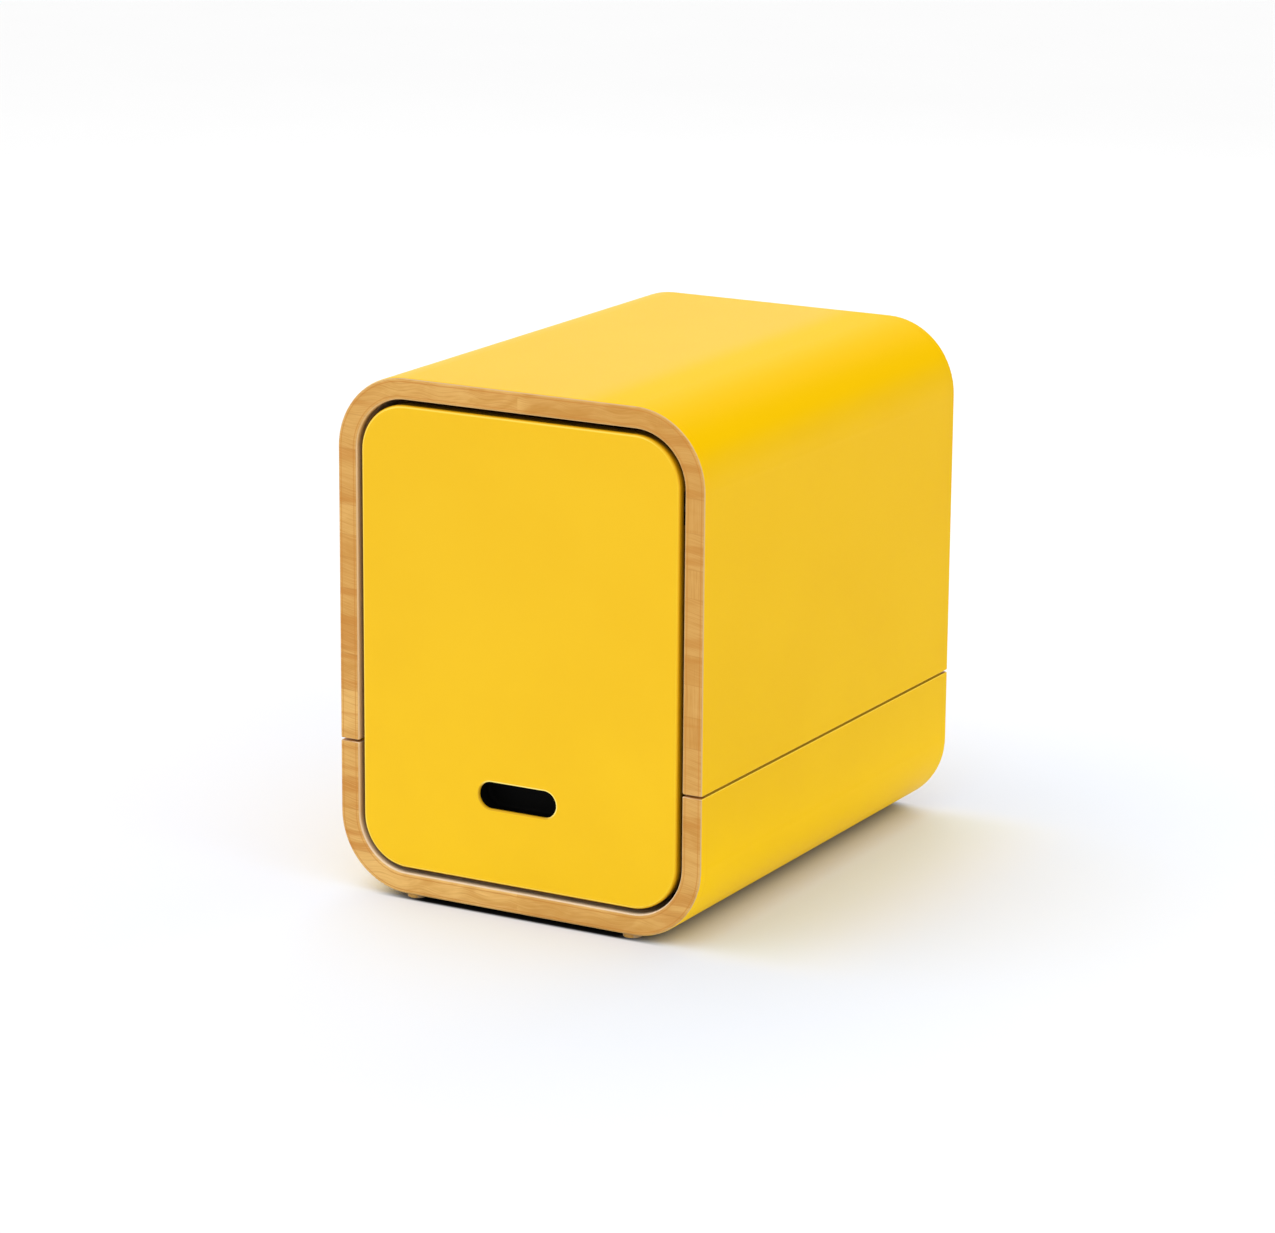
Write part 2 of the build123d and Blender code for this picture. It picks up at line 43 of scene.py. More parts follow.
# ---- places that the looks are tied to (metres), from the frame where it holds them ----
NODES = frame["nodes"]
SLOT_OF = {row["node"]: row["material_slot"] for row in frame["record"]["subparts"]}
HOOD_LOW, HOOD_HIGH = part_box("hood_laminate")
TROUGH_LOW, TROUGH_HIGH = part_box("trough_laminate")
FRONT_Y = cad_low.y
BACK_Y = cad_high.y
FLOOR_Z = cad_low.z
HALF_WIDTH = cad_high.x
SHELL_BOTTOM = TROUGH_LOW.z
SHELL_TOP = HOOD_HIGH.z
LIPPING_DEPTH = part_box("hood_front_lipping")[1].y - FRONT_Y
SEAM_Z = (HOOD_LOW.z + TROUGH_HIGH.z) / 2
CUP_LOW, CUP_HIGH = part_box("finger_cup")
CUP_RIM = 0.016
SLOT_Z = (CUP_LOW.z + CUP_HIGH.z) / 2
SLOT_RADIUS = (CUP_HIGH.z - CUP_LOW.z) / 2 - CUP_RIM
SLOT_REACH = CUP_HIGH.x - (CUP_HIGH.z - SLOT_Z)
OUTER_RADIUS = 0.070
ARRIS = 0.0025
RIM_DEPTHS = (0.0034, 0.0166)
RIM_WIDTH = 0.0014
STAVE_LENGTH = 0.029
FLOOR_REACH = 15.0

# ---- the camera, from the photograph's perspective ----
CAMERA_AZIMUTH = math.radians(29.12)
CAMERA_DOWN = math.radians(14.447)
CAMERA_ROLL = math.radians(0.441)
CAMERA_PLACE = Vector((1.95925, -3.54837, 1.26999))
SENSOR_WIDTH = 36.0
LENS = 126.3

# ---- colours, linear ----
YELLOW_HIGH = (0.810, 0.492, 0.0070)
YELLOW_LOW_PAINTED_LIGHT = (0.865, 0.535, 0.0030)
YELLOW_SHADE = (0.780, 0.452, 0.0030)
YELLOW_PAINTED_HIGHLIGHT = (0.930, 0.680, 0.0900)
YELLOW_TROUGH = (0.975, 0.610, 0.001)
YELLOW_BEND_PAINTED_DIM_REFLECTION = (0.838, 0.500, 0.0005)
YELLOW_JOINT = (0.78, 0.42, 0.005)
YELLOW_ROUNDING_PAINTED_SHADE = (0.70, 0.37, 0.001)
GAP_SHADE = (0.045, 0.026, 0.0010)
LAMINATE_CORE = (0.58, 0.40, 0.19)
SLOT_RIM_PAINTED_SHADE = (0.62, 0.34, 0.004)
SLOT_RIM_PAINTED_HIGHLIGHT = (1.0, 0.80, 0.21)
WOOD_PALE = (0.73, 0.430, 0.120)
WOOD_WARM = (0.56, 0.275, 0.048)
STAVE_PALE = (0.72, 0.430, 0.125)
STAVE_WARM = (0.53, 0.240, 0.040)
WOOD_BAND = (0.50, 0.190, 0.020)
GRAIN_DARK = (0.43, 0.165, 0.020)
GRAIN_PALE = (0.78, 0.50, 0.170)
WOOD_PAINTED_LIGHT_NEAR_FLOOR = (0.84, 0.56, 0.180)
STAVE_JOINT = (0.40, 0.150, 0.020)
WOOD_PAINTED_SHADE = (0.48, 0.215, 0.030)
WOOD_RIM = (0.50, 0.18, 0.015)
WOOD_OUTER_EDGE_PAINTED_HIGHLIGHT = (0.60, 0.43, 0.25)
WOOD_INNER_EDGE_PAINTED_HIGHLIGHT_DOWN = (0.76, 0.47, 0.16)
WOOD_INNER_EDGE_PAINTED_HIGHLIGHT_UP = (0.90, 0.72, 0.50)
WOOD_GAP_PAINTED_SHADE = (0.20, 0.12, 0.055)
WOOD_CUT = (0.52, 0.22, 0.020)
PLY_PALE = (0.86, 0.60, 0.060)
PLY_DARK = (0.52, 0.33, 0.030)
FLOOR_PALE = (0.825, 0.825, 0.825)
FLOOR_UNEVEN = (0.815, 0.815, 0.815)
FLOOR_RIGHT_PAINTED_SHADOW = (0.748, 0.782, 0.785)
FLOOR_FRONT_PAINTED_SHADE = (0.775, 0.815, 0.900)
FLOOR_SIDE_PAINTED_SHADE = (0.752, 0.800, 0.885)
FLOOR_LEFT_PAINTED_SHADE = (0.732, 0.770, 0.868)
FLOOR_BENEATH_PAINTED_SHADE = (0.01, 0.01, 0.01)


class Tree:
    """A node tree and short calls for the nodes that it is made of."""

    def __init__(self, owner, shader):
        self.owner = owner
        owner.use_nodes = True
        self.nodes = owner.node_tree.nodes
        self.links = owner.node_tree.links
        self.shader = self.nodes[shader]
        self.places = self.nodes.new("ShaderNodeTexCoord")

    def put(self, socket, value):
        """Give a socket a value, or link it to another node's output."""
        if isinstance(value, bpy.types.NodeSocket):
            self.links.new(value, socket)
        elif isinstance(value, tuple) and len(value) == 3 and socket.type == "RGBA":
            socket.default_value = (*value, 1)
        else:
            socket.default_value = value

    def set(self, **inputs):
        """Set the shader's own sockets; Base_Color means Base Color."""
        for name, value in inputs.items():
            self.put(self.shader.inputs[name.replace("_", " ")], value)

    @property
    def place(self):
        """The point in the object's own frame, in metres."""
        return self.places.outputs["Object"]

    @property
    def facing(self):
        """The surface's direction in the object's own frame."""
        return self.places.outputs["Normal"]

    def parts(self, vector):
        """The X, Y and Z of a vector."""
        node = self.nodes.new("ShaderNodeSeparateXYZ")
        self.put(node.inputs[0], vector)
        return node.outputs[0], node.outputs[1], node.outputs[2]

    def join(self, x, y, z):
        node = self.nodes.new("ShaderNodeCombineXYZ")
        for socket, value in zip(node.inputs, (x, y, z)):
            self.put(socket, value)
        return node.outputs[0]

    def math(self, operation, a, b=0.0, c=0.0):
        node = self.nodes.new("ShaderNodeMath")
        node.operation = operation
        for socket, value in zip(node.inputs, (a, b, c)):
            self.put(socket, value)
        return node.outputs[0]

    def scaled(self, vector, factors):
        """A vector with each of its parts multiplied."""
        node = self.nodes.new("ShaderNodeVectorMath")
        node.operation = "MULTIPLY"
        self.put(node.inputs[0], vector)
        node.inputs[1].default_value = factors
        return node.outputs[0]

    def along(self, vector, direction):
        """How far a vector reaches along a direction."""
        node = self.nodes.new("ShaderNodeVectorMath")
        node.operation = "DOT_PRODUCT"
        self.put(node.inputs[0], vector)
        node.inputs[1].default_value = direction
        return node.outputs["Value"]

    def step(self, value, low, high, start=0.0, end=1.0):
        """A value's share of the way from low to high, as a number from start to end."""
        node = self.nodes.new("ShaderNodeMapRange")
        node.interpolation_type = "SMOOTHSTEP"
        for socket, number in zip(node.inputs, (value, low, high, start, end)):
            self.put(socket, number)
        return node.outputs[0]

    def band(self, value, middle, width):
        """1 where a value is at the middle of a band, down to 0 at its edges."""
        away = self.math("ABSOLUTE", self.math("SUBTRACT", value, middle))
        return self.step(away, width / 4, width / 2, 1.0, 0.0)

    def noise(self, vector, scale, detail=2.0, roughness=0.5, distortion=0.0):
        node = self.nodes.new("ShaderNodeTexNoise")
        self.put(node.inputs["Vector"], vector)
        node.inputs["Scale"].default_value = scale
        node.inputs["Detail"].default_value = detail
        node.inputs["Roughness"].default_value = roughness
        node.inputs["Distortion"].default_value = distortion
        return node.outputs["Fac"]

    def cells(self, value, size, output):
        """A line cut into uneven cells: each one's colour, or the distance to its ends."""
        node = self.nodes.new("ShaderNodeTexVoronoi")
        node.voronoi_dimensions = "1D"
        node.feature = "F1" if output == "Color" else "DISTANCE_TO_EDGE"
        node.inputs["Scale"].default_value = 1 / size
        node.inputs["Randomness"].default_value = 0.75
        self.put(node.inputs["W"], value)
        return node.outputs[output]

    def mix(self, factor, a, b):
        node = self.nodes.new("ShaderNodeMix")
        node.data_type = "RGBA"
        self.put(node.inputs["Factor"], factor)
        self.put(node.inputs["A"], a)
        self.put(node.inputs["B"], b)
        return node.outputs["Result"]

    def bump(self, height, strength, distance):
        node = self.nodes.new("ShaderNodeBump")
        node.inputs["Strength"].default_value = strength
        node.inputs["Distance"].default_value = distance
        self.put(node.inputs["Height"], height)
        return node.outputs["Normal"]

    def shell_depth(self):
        """How deep a point lies inside the shell's round-cornered outline, seen from the front."""
        x, _, z = self.parts(self.place)
        middle = (SHELL_TOP + SHELL_BOTTOM) / 2
        half_height = (SHELL_TOP - SHELL_BOTTOM) / 2
        across = self.math("SUBTRACT", self.math("ABSOLUTE", x), HALF_WIDTH - OUTER_RADIUS)
        height = self.math("ABSOLUTE", self.math("SUBTRACT", z, middle))
        along = self.math("SUBTRACT", height, half_height - OUTER_RADIUS)
        outside_x = self.math("MAXIMUM", across, 0.0)
        outside_z = self.math("MAXIMUM", along, 0.0)
        square_z = self.math("MULTIPLY", outside_z, outside_z)
        corner = self.math("SQRT", self.math("MULTIPLY_ADD", outside_x, outside_x, square_z))
        inner = self.math("MINIMUM", self.math("MAXIMUM", across, along), 0.0)
        distance = self.math("ADD", corner, inner)
        return self.math("SUBTRACT", OUTER_RADIUS, distance)

    def ends(self):
        """How far a point lies from the nearer of the front and back faces."""
        _, y, _ = self.parts(self.place)
        middle = (FRONT_Y + BACK_Y) / 2
        away = self.math("ABSOLUTE", self.math("SUBTRACT", y, middle))
        return self.math("SUBTRACT", (BACK_Y - FRONT_Y) / 2, away)


# ---- materials ----
def new_material(name):
    return Tree(bpy.data.materials.new(name), "Principled BSDF")


def satin_yellow(tree):
    """What the laminate and the lacquer share: a yellow that drifts a little, with painted light that
    makes it lighter low down.
    """
    _, _, z = tree.parts(tree.place)
    drift = tree.noise(tree.place, 9.0, 3.0, 0.5)
    fine = tree.noise(tree.place, 420.0, 2.0, 0.6)
    share = tree.math("MULTIPLY_ADD", fine, 0.2, tree.step(drift, 0.3, 0.7, 0.05, 0.35))
    # painted light: the yellow turns lighter towards the bottom of the shell
    height = tree.mix(tree.step(z, SHELL_BOTTOM, SHELL_TOP * 0.75), YELLOW_LOW_PAINTED_LIGHT, YELLOW_HIGH)
    return tree.mix(share, height, YELLOW_SHADE)


def laminate():
    """Matt yellow laminate: its core on the rounded edge, a faint joint line, painted highlights on the
    seam edges and a painted purer yellow on the bend.
    """
    tree = new_material("laminate_yellow")
    x, _, z = tree.parts(tree.place)
    _, _, facing_z = tree.parts(tree.facing)
    yellow = tree.mix(tree.step(z, SHELL_BOTTOM, SEAM_Z, 1.0, 0.0), satin_yellow(tree), YELLOW_TROUGH)
    # painted reflection: the bend over the right side is given a purer yellow, standing in for the dark
    # surroundings that it reflects, and it hardly shines
    bend = tree.math("MULTIPLY", tree.step(x, 0.04, 0.10), tree.step(facing_z, 0.24, 0.62))
    yellow = tree.mix(bend, yellow, YELLOW_BEND_PAINTED_DIM_REFLECTION)
    ends = tree.ends()
    joint = tree.band(ends, LIPPING_DEPTH, 0.0016)
    shaded = tree.mix(tree.math("MULTIPLY", joint, 0.22), yellow, YELLOW_JOINT)
    # painted highlights on the eased edges just above and below the seam
    level = tree.step(tree.math("ABSOLUTE", facing_z), 0.2, 0.5)
    eased_highlight = tree.math("MULTIPLY", tree.band(z, SEAM_Z, 0.009), level)
    shaded = tree.mix(tree.math("MULTIPLY", eased_highlight, 0.7), shaded, YELLOW_PAINTED_HIGHLIGHT)
    edge = tree.step(ends, ARRIS * 0.30, ARRIS * 0.65, 1.0, 0.0)
    tree.set(Base_Color=tree.mix(edge, shaded, LAMINATE_CORE))
    grain = tree.noise(tree.place, 1800.0, 3.0, 0.55)
    tree.set(Roughness=tree.step(grain, 0.3, 0.7, 0.38, 0.46), Normal=tree.bump(grain, 0.05, 0.0004))
    tree.set(Specular_IOR_Level=tree.step(bend, 0.0, 1.0, 0.04, 0.010))
    return tree.owner


def lacquer():
    """Sprayed yellow lacquer with a faint orange peel, painted highlights and painted shade on its rounded
    edges, and painted shade on its side faces in the gaps.
    """
    tree = new_material("lacquer_yellow")
    x, y, z = tree.parts(tree.place)
    facing_x, facing_y, _ = tree.parts(tree.facing)
    turned = tree.math("ABSOLUTE", facing_y)
    # painted light on the roundings: painted shade on their far part, and a painted highlight near their
    # start on the edges that face left, up and down
    rounded = tree.step(turned, 0.985, 0.999, 0.8, 0.0)
    bright = tree.math("MULTIPLY", rounded, tree.step(turned, 0.72, 0.92))
    to_left = tree.step(facing_x, 0.02, 0.25, 1.0, 0.0)
    colour = tree.mix(tree.step(turned, 0.62, 0.93, 1.0, 0.0), satin_yellow(tree), YELLOW_ROUNDING_PAINTED_SHADE)
    colour = tree.mix(tree.math("MULTIPLY", bright, to_left), colour, YELLOW_PAINTED_HIGHLIGHT)
    # painted light on the line round the finger slot: a painted highlight on its upper right and painted
    # shade on its lower left
    along = tree.math("MAXIMUM", tree.math("SUBTRACT", tree.math("ABSOLUTE", x), SLOT_REACH), 0.0)
    above = tree.math("SUBTRACT", z, SLOT_Z)
    square = tree.math("MULTIPLY_ADD", along, along, tree.math("MULTIPLY", above, above))
    line = tree.band(tree.math("SQRT", square), SLOT_RADIUS + 0.0004, 0.0025)
    in_front = tree.step(y, FRONT_Y + 0.003, FRONT_Y + 0.004, 1.0, 0.0)
    upper = tree.step(tree.math("MULTIPLY_ADD", x, 0.3, above), -0.006, 0.006)
    slot_rim_painted_light = tree.mix(upper, SLOT_RIM_PAINTED_SHADE, SLOT_RIM_PAINTED_HIGHLIGHT)
    colour = tree.mix(tree.math("MULTIPLY", line, in_front), colour, slot_rim_painted_light)
    # painted shade on the side faces, darker the deeper they lie in the gap
    shade_from = tree.step(tree.math("ABSOLUTE", facing_x), 0.0, 1.0, 0.0045, 0.0115)
    depth = tree.step(tree.math("DIVIDE", tree.ends(), shade_from), 0.2, 1.0)
    painted_gap_shade = tree.math("MULTIPLY", tree.step(turned, 0.30, 0.55, 1.0, 0.0), depth)
    tree.set(Base_Color=tree.mix(tree.math("MULTIPLY", painted_gap_shade, 0.85), colour, GAP_SHADE))
    peel = tree.noise(tree.place, 700.0, 2.0, 0.45)
    tree.set(Roughness=tree.step(peel, 0.3, 0.7, 0.36, 0.42), Normal=tree.bump(peel, 0.04, 0.0005))
    tree.set(Specular_IOR_Level=0.2)
    return tree.owner


def grain_lines(tree, place, along, seed):
    """Fine streaks that run along one axis of a piece of wood."""
    stretch = [780.0, 780.0, 780.0]
    stretch[along] = 24.0
    moved = tree.join(*[tree.math("ADD", part, seed) for part in tree.parts(place)])
    return tree.noise(tree.scaled(moved, stretch), 1.0, 3.0, 0.6, 0.35)


def edging_streaks(tree, side, on_right, stave_tint):
    """The edging's grain: level, a little arched on the uprights, plumb in a few staves on the right."""
    x, _, z = tree.parts(tree.place)
    arch = tree.math("MULTIPLY", tree.math("SINE", tree.math("MULTIPLY", x, 140.0)), 0.0016)
    bent = tree.join(x, side, tree.math("ADD", z, arch))
    level = grain_lines(tree, bent, 0, 0.0)
    plumb = grain_lines(tree, tree.place, 2, 5.0)
    is_plumb = tree.math("MULTIPLY", on_right, tree.step(stave_tint, 0.60, 0.62))
    return tree.math("MULTIPLY_ADD", is_plumb, tree.math("SUBTRACT", plumb, level), level)


def edging_tone(tree, side, right, upright):
    """The edging's wood and the streaks on it: clouds, staves on the uprights, bands, then grain, with
    painted light near the floor and painted shade on the right and higher up.
    """
    x, _, z = tree.parts(tree.place)
    stave_at = tree.math("MULTIPLY_ADD", side, 3.17, tree.math("MULTIPLY_ADD", x, 0.05, z))
    tint_r, tint_g, tint_b = tree.parts(tree.cells(stave_at, STAVE_LENGTH, "Color"))
    joint = tree.step(tree.cells(stave_at, STAVE_LENGTH, "Distance"), 0.004, 0.035, 1.0, 0.0)
    streak = edging_streaks(tree, side, tree.math("MULTIPLY", upright, right), tint_g)
    apart = tree.join(tree.math("MULTIPLY_ADD", side, 0.7, x), 0.0, z)
    cloud = tree.noise(tree.scaled(apart, (0.55, 1.0, 1.3)), 30.0, 3.0, 0.6, 0.9)
    colour = tree.mix(tree.step(cloud, 0.36, 0.66), WOOD_PALE, WOOD_WARM)
    stave = tree.mix(tint_r, STAVE_PALE, STAVE_WARM)
    colour = tree.mix(tree.math("MULTIPLY", upright, 0.6), colour, stave)
    bands = tree.noise(tree.scaled(apart, (4.0, 1.0, 62.0)), 1.0, 2.0, 0.5, 0.3)
    band_strength = tree.math("MULTIPLY_ADD", upright, 0.40, 0.22)
    banded = tree.math("MULTIPLY", tree.step(bands, 0.53, 0.64), band_strength)
    colour = tree.mix(banded, colour, WOOD_BAND)
    colour = tree.mix(tree.step(streak, 0.46, 0.72, 0.0, 0.46), colour, GRAIN_DARK)
    colour = tree.mix(tree.step(streak, 0.50, 0.30, 0.0, 0.34), colour, GRAIN_PALE)
    # painted light: the wood is lighter just above the floor
    colour = tree.mix(tree.step(z, 0.020, 0.050, 0.16, 0.0), colour, WOOD_PAINTED_LIGHT_NEAR_FLOOR)
    sharp = tree.math("MULTIPLY", tree.step(tint_b, 0.35, 0.65), tree.math("MULTIPLY", joint, upright))
    colour = tree.mix(tree.math("MULTIPLY", sharp, 0.42), colour, STAVE_JOINT)
    # painted shade: the wood is darker on the right and towards the top
    painted_shade_share = tree.math("MULTIPLY_ADD", right, 0.28, tree.step(z, 0.05, 0.45, 0.0, 0.26))
    return tree.mix(painted_shade_share, colour, WOOD_PAINTED_SHADE), streak


def edging_rims(tree, colour):
    """A darker line where each rounding starts, painted highlights on the roundings, painted shade on the
    wood deep in the gap, and darker wood on the level faces at the seam.
    """
    _, _, z = tree.parts(tree.place)
    _, facing_y, facing_z = tree.parts(tree.facing)
    depth = tree.shell_depth()
    rims = tree.math("MAXIMUM", *[tree.band(depth, at, RIM_WIDTH) for at in RIM_DEPTHS])
    colour = tree.mix(tree.math("MULTIPLY", rims, 0.55), colour, WOOD_RIM)
    turned = tree.math("ABSOLUTE", facing_y)
    inner = tree.step(depth, 0.012, 0.013)
    # painted highlight on the outer roundings
    outer_painted_highlight = tree.math("MULTIPLY", tree.step(turned, 0.76, 0.90, 1.0, 0.0), 0.85)
    inner_painted_highlight = tree.math("MULTIPLY", tree.step(turned, 0.60, 0.90, 1.0, 0.0), 0.85)
    colour = tree.mix(outer_painted_highlight, colour, WOOD_OUTER_EDGE_PAINTED_HIGHLIGHT)
    # painted highlight on the inner roundings, paler where they face up
    inner_highlight_colour = tree.mix(tree.step(facing_z, -0.35, 0.45), WOOD_INNER_EDGE_PAINTED_HIGHLIGHT_DOWN, WOOD_INNER_EDGE_PAINTED_HIGHLIGHT_UP)
    colour = tree.mix(tree.math("MULTIPLY", inner, inner_painted_highlight), colour, inner_highlight_colour)
    # painted shade on the inner faces of the edging that lie deep in the gap
    deep = tree.step(tree.ends(), 0.0025, 0.0085)
    painted_gap_shade = tree.math("MULTIPLY", deep, tree.step(turned, 0.1, 0.3, 1.0, 0.0))
    colour = tree.mix(tree.math("MULTIPLY", tree.math("MULTIPLY", painted_gap_shade, inner), 0.6), colour, WOOD_GAP_PAINTED_SHADE)
    level_face = tree.step(tree.math("ABSOLUTE", facing_z), 0.7, 0.95)
    cut = tree.math("MULTIPLY", tree.band(z, SEAM_Z, 0.005), level_face)
    return tree.mix(tree.math("MULTIPLY", cut, 0.8), colour, WOOD_CUT)


def edging_wood():
    """Warm pale wood edging: soft cross grain, blurred staves and orange bands."""
    tree = new_material("edging_wood")
    x, _, _ = tree.parts(tree.place)
    side = tree.math("SIGN", x)
    right = tree.step(x, 0.0, 0.02)
    upright = tree.step(tree.math("ABSOLUTE", x), HALF_WIDTH - 0.055, HALF_WIDTH - 0.03)
    colour, streak = edging_tone(tree, side, right, upright)
    tree.set(Base_Color=edging_rims(tree, colour), Roughness=tree.step(streak, 0.3, 0.7, 0.45, 0.56))
    tree.set(Specular_IOR_Level=0.3, Normal=tree.bump(streak, 0.12, 0.0003))
    return tree.owner


def plywood():
    """Bent plywood: veneer with its grain along the box, and plies on the cut edges."""
    tree = new_material("plywood")
    _, _, facing_z = tree.parts(tree.facing)
    _, _, z = tree.parts(tree.place)
    streak = grain_lines(tree, tree.place, 1, 2.0)
    cloud = tree.noise(tree.scaled(tree.place, (1.0, 0.2, 1.0)), 14.0, 3.0, 0.5, 0.6)
    face = tree.mix(tree.step(cloud, 0.3, 0.7), (0.72, 0.50, 0.29), (0.62, 0.40, 0.20))
    face = tree.mix(tree.step(streak, 0.45, 0.75, 0.0, 0.5), face, (0.45, 0.26, 0.11))
    ply = tree.math("PINGPONG", tree.shell_depth(), 0.0014)
    plies = tree.mix(tree.step(ply, 0.0005, 0.0009), PLY_PALE, PLY_DARK)
    near_seam = tree.band(z, SEAM_Z, 0.012)
    cut = tree.math("MULTIPLY", near_seam, tree.step(tree.math("ABSOLUTE", facing_z), 0.5, 0.8))
    tree.set(Base_Color=tree.mix(cut, face, plies), Roughness=tree.step(streak, 0.3, 0.7, 0.5, 0.62))
    tree.set(Specular_IOR_Level=tree.step(cut, 0.0, 1.0, 0.3, 0.0))
    tree.set(Normal=tree.bump(streak, 0.15, 0.0003))
    return tree.owner


def batten_wood(name, along):
    """Plain beech with short flecks, its grain along one axis."""
    tree = new_material(name)
    streak = grain_lines(tree, tree.place, along, 7.0)
    fleck = tree.noise(tree.scaled(tree.place, (1.0, 1.0, 0.3)), 900.0, 1.0)
    colour = tree.mix(tree.step(streak, 0.3, 0.75), (0.64, 0.41, 0.21), (0.49, 0.28, 0.12))
    colour = tree.mix(tree.step(fleck, 0.62, 0.7, 0.0, 0.4), colour, (0.36, 0.19, 0.08))
    tree.set(Base_Color=colour, Roughness=tree.step(streak, 0.3, 0.7, 0.5, 0.65))
    tree.set(Specular_IOR_Level=0.3, Normal=tree.bump(streak, 0.2, 0.0003))
    return tree.owner


def black_plastic():
    """Moulded black plastic with a fine spark texture."""
    tree = new_material("black_plastic")
    spark = tree.noise(tree.place, 2600.0, 2.0, 0.5)
    tree.set(Base_Color=tree.mix(spark, (0.0025, 0.0025, 0.0025), (0.005, 0.005, 0.0048)))
    tree.set(Roughness=tree.step(spark, 0.3, 0.7, 0.6, 0.75), Normal=tree.bump(spark, 0.2, 0.0002))
    tree.set(Specular_IOR_Level=0.04)
    return tree.owner


def metal(name, bright, dull, rough):
    """Metal with fine scratches that vary its gloss."""
    tree = new_material(name)
    scratch = tree.noise(tree.scaled(tree.place, (1.0, 0.15, 1.0)), 2400.0, 2.0, 0.6)
    tree.set(Base_Color=tree.mix(scratch, bright, dull), Metallic=1.0)
    tree.set(Roughness=tree.step(scratch, 0.3, 0.7, rough, rough + 0.15))
    tree.set(Normal=tree.bump(scratch, 0.1, 0.0001))
    return tree.owner


def nylon():
    """Dark nylon with a soft sheen."""
    tree = new_material("nylon")
    fine = tree.noise(tree.place, 1500.0, 2.0)
    tree.set(Base_Color=tree.mix(fine, (0.045, 0.042, 0.03), (0.07, 0.062, 0.045)))
    tree.set(Roughness=tree.step(fine, 0.3, 0.7, 0.45, 0.6), Normal=tree.bump(fine, 0.1, 0.0002))
    return tree.owner


def felt():
    """Pressed brown felt: short fibres in every direction."""
    tree = new_material("felt")
    fibre = tree.noise(tree.place, 3200.0, 4.0, 0.75, 1.5)
    tree.set(Base_Color=tree.mix(fibre, (0.05, 0.03, 0.018), (0.16, 0.10, 0.06)), Roughness=0.95)
    tree.set(Normal=tree.bump(fibre, 0.8, 0.0006), Sheen_Weight=0.4)
    return tree.owner


def studio_floor():
    """A pale matt floor with painted shade round the yellow box, a painted shadow by its right side and
    painted shade beneath.
    """
    tree = new_material("studio_floor")
    uneven = tree.noise(tree.place, 3.0, 2.0)
    x, y, _ = tree.parts(tree.place)
    beside = tree.math("MAXIMUM", tree.math("SUBTRACT", tree.math("ABSOLUTE", x), HALF_WIDTH), 0.0)
    before = tree.math("MAXIMUM", tree.math("SUBTRACT", tree.math("ABSOLUTE", y), BACK_Y), 0.0)
    square = tree.math("ADD", tree.math("MULTIPLY", beside, beside), tree.math("MULTIPLY", before, before))
    away = tree.math("SQRT", square)
    # painted shade: the floor turns cooler and darker near the box
    near_box_painted_shade = tree.step(away, 0.02, 0.75, 1.0, 0.0)
    abreast = tree.step(tree.math("ABSOLUTE", y), BACK_Y - 0.030, BACK_Y + 0.030, 1.0, 0.0)
    # painted shadow: a darker, warmer patch of floor by the box's right side
    right = tree.math("MULTIPLY", tree.step(x, 0.15, 0.2), tree.step(away, 0.03, 0.17, 1.0, 0.0))
    right = tree.math("MULTIPLY", right, abreast)
    near_box_painted_shade = tree.math("MULTIPLY", near_box_painted_shade, tree.math("SUBTRACT", 1.0, right))
    pale = tree.mix(uneven, FLOOR_PALE, FLOOR_UNEVEN)
    pale = tree.mix(right, pale, FLOOR_RIGHT_PAINTED_SHADOW)
    painted_shade_tint = tree.mix(tree.step(x, 0.0, 0.3), FLOOR_FRONT_PAINTED_SHADE, FLOOR_SIDE_PAINTED_SHADE)
    painted_shade_tint = tree.mix(tree.step(x, -0.30, -0.12, 1.0, 0.0), painted_shade_tint, FLOOR_LEFT_PAINTED_SHADE)
    colour = tree.mix(near_box_painted_shade, pale, painted_shade_tint)
    # painted shade: the floor that the box stands over is painted near-black, as it hardly sees any light
    under_x = tree.step(tree.math("ABSOLUTE", x), HALF_WIDTH - 0.088, HALF_WIDTH - 0.026, 1.0, 0.0)
    under_y = tree.step(tree.math("ABSOLUTE", y), BACK_Y - 0.001, BACK_Y + 0.005, 1.0, 0.0)
    beneath = tree.math("MULTIPLY", under_x, under_y)
    tree.set(Base_Color=tree.mix(beneath, colour, FLOOR_BENEATH_PAINTED_SHADE))
    tree.set(Roughness=0.9, Specular_IOR_Level=0.0)
    return tree.owner


def dress_nodes():
    """Give every CAD node the material of its slot."""
    made = {
        "laminate": laminate(),
        "lacquered_panel": lacquer(),
        "edging_wood": edging_wood(),
        "plywood": plywood(),
        "black_plastic": black_plastic(),
        "steel": metal("steel", (0.62, 0.62, 0.62), (0.45, 0.45, 0.46), 0.25),
        "brass": metal("brass", (0.80, 0.58, 0.24), (0.62, 0.42, 0.15), 0.25),
        "zinc": metal("zinc_blackened", (0.045, 0.040, 0.030), (0.030, 0.026, 0.020), 0.45),
        "nylon": nylon(),
        "felt": felt(),
    }
    upright = batten_wood("beech_upright", 2)
    level = batten_wood("beech_level", 0)
    for name, node in NODES.items():
        slot = SLOT_OF[name]
        if slot == "batten_wood":
            material = upright if "batten" in name else level
        else:
            material = made[slot]
        node.data.materials.clear()
        node.data.materials.append(material)


# ---- studio ----
def floor():
    """A wide plane under the feet."""
    mesh = bpy.data.meshes.new("studio_floor")
    signs = ((-1, -1), (1, -1), (1, 1), (-1, 1))
    corners = [(sx * FLOOR_REACH, sy * FLOOR_REACH, FLOOR_Z) for sx, sy in signs]
    mesh.from_pydata(corners, [], [(0, 1, 2, 3)])
    mesh.materials.append(studio_floor())
    made = bpy.data.objects.new("studio_floor", mesh)
    bpy.context.scene.collection.objects.link(made)


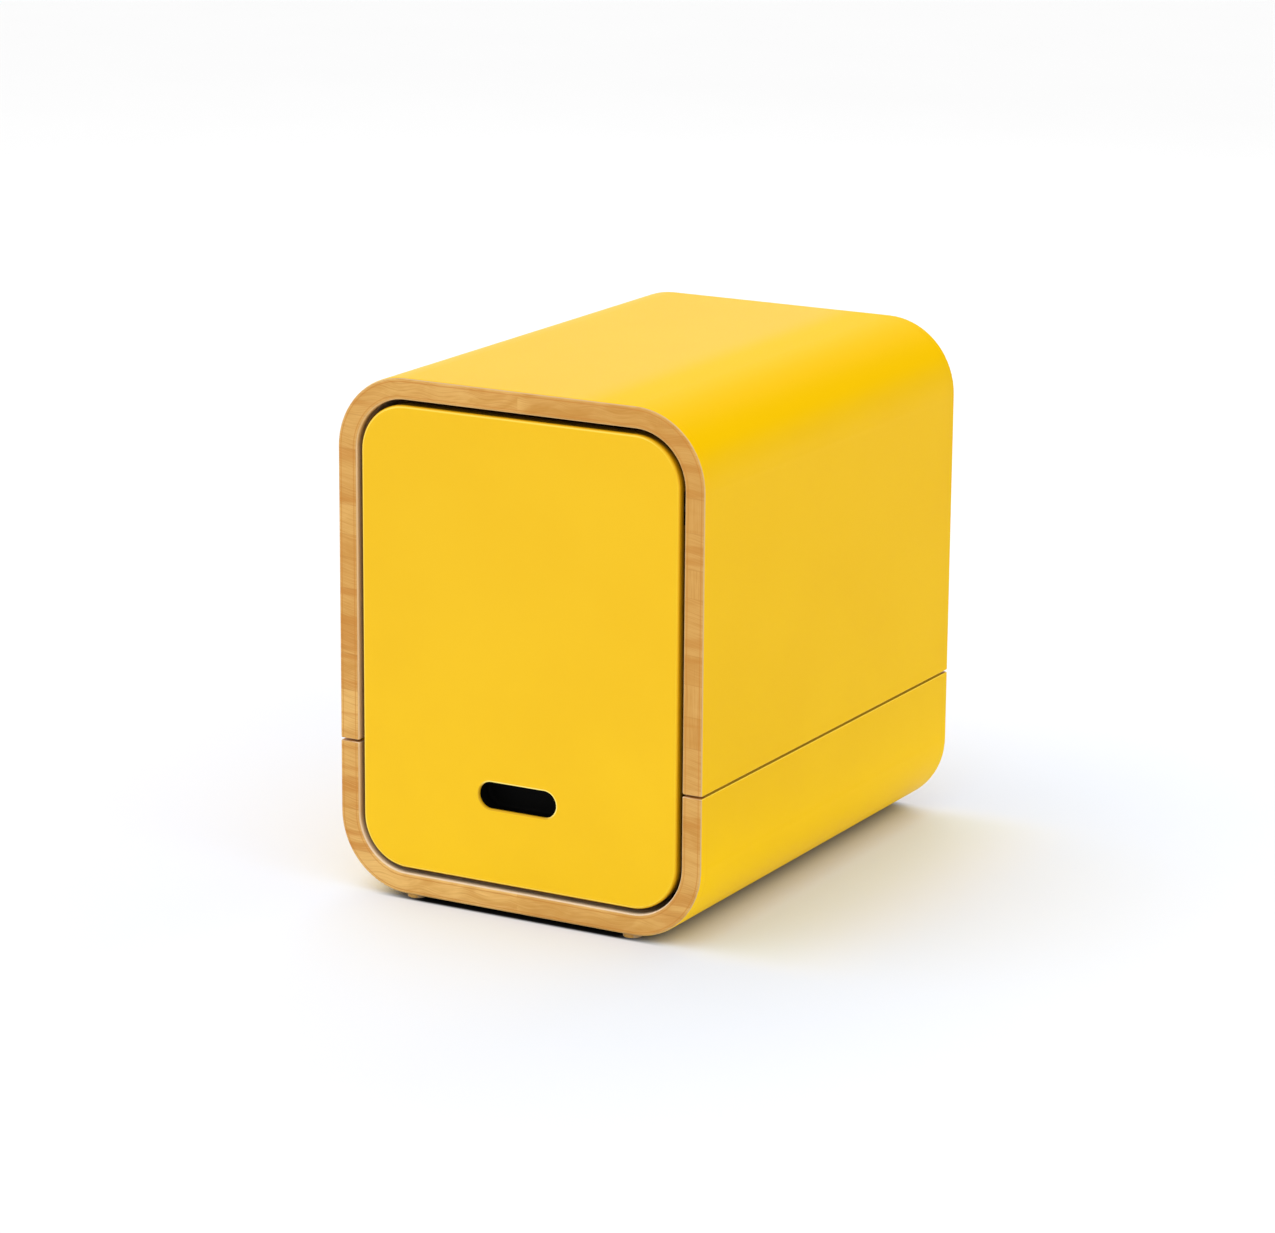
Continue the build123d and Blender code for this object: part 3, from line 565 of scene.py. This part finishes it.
def soft_light(name, place, size, power, target=Vector((0, 0, 0.25))):
    """A square area light that faces the box."""
    data = bpy.data.lights.new(name, "AREA")
    data.size = size
    data.energy = power
    made = bpy.data.objects.new(name, data)
    made.location = place
    made.rotation_mode = "QUATERNION"
    made.rotation_quaternion = (target - Vector(place)).to_track_quat("-Z", "Y")
    bpy.context.scene.collection.objects.link(made)


def sky(lobes):
    """Soft light from all around, with a direction, a sharpness and a strength for each lobe."""
    tree = Tree(bpy.data.worlds.new("studio"), "Background")
    total = 0.0
    for direction, sharpness, strength in lobes:
        toward = tree.math("MAXIMUM", tree.along(tree.places.outputs["Generated"], direction), 0.0)
        total = tree.math("MULTIPLY_ADD", tree.math("POWER", toward, sharpness), strength, total)
    tree.set(Color=(1, 1, 1), Strength=total)
    bpy.context.scene.world = tree.owner


def camera():
    """The photograph's camera: its place, viewing angle, small roll and lens."""
    back = Vector((
        math.sin(CAMERA_AZIMUTH) * math.cos(CAMERA_DOWN),
        -math.cos(CAMERA_AZIMUTH) * math.cos(CAMERA_DOWN),
        math.sin(CAMERA_DOWN),
    ))
    level_right = Vector((math.cos(CAMERA_AZIMUTH), math.sin(CAMERA_AZIMUTH), 0))
    level_up = back.cross(level_right)
    right = level_right * math.cos(CAMERA_ROLL) + level_up * math.sin(CAMERA_ROLL)
    up = back.cross(right)
    data = bpy.data.cameras.new("camera")
    data.lens = LENS
    data.sensor_width = SENSOR_WIDTH
    made = bpy.data.objects.new("camera", data)
    bpy.context.scene.collection.objects.link(made)
    turn = Matrix((right, up, back)).transposed()
    made.matrix_world = Matrix.Translation(CAMERA_PLACE) @ turn.to_4x4()
    bpy.context.scene.camera = made


dress_nodes()
floor()
sky((
    ((-1, 0, 0), 1, 1.165),
    ((0, -1, 0), 1, 1.06),
    ((1, 0, 0), 1, 0.30),
    ((0, 0, 1), 3, 1.50),
    ((-0.48, 0.85, 0.22), 8, 0.90),
))
soft_light("right", (3.3, -0.6, 0.9), 1.6, 26.8)
soft_light("rear", (-0.5, 3.0, 2.6), 2.2, 19.7)
camera()
bpy.context.scene.view_settings.view_transform = "Standard"
